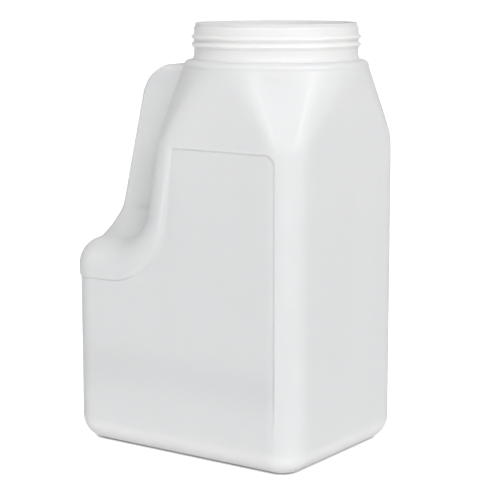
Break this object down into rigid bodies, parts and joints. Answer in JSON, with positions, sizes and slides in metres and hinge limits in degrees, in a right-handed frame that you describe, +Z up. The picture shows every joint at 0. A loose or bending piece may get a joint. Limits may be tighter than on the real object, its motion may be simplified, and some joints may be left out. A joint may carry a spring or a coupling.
{
  "type": "oblong bottle with handle",
  "caption": "Oblong wide-mouth plastic bottle: rounded box body, faceted shoulder up to a round screw neck, recessed label panels and an upright pinch-grip handle above a ledge.",
  "frame": {"origin": "middle of the bottle's bounding box in plan, on the plane it stands on", "axes": "+Z up, along the neck's axis; -X towards the handle; Y across the shorter side, with the mould's parting plane at y = 0"},
  "size_m": [0.1872, 0.1332, 0.2837],
  "materials": {
    "natural_polyethylene": "satin, slightly milky and translucent"
  },
  "bodies": {
    "root": {"bottle": "natural_polyethylene"}
  },
  "joints": []
}
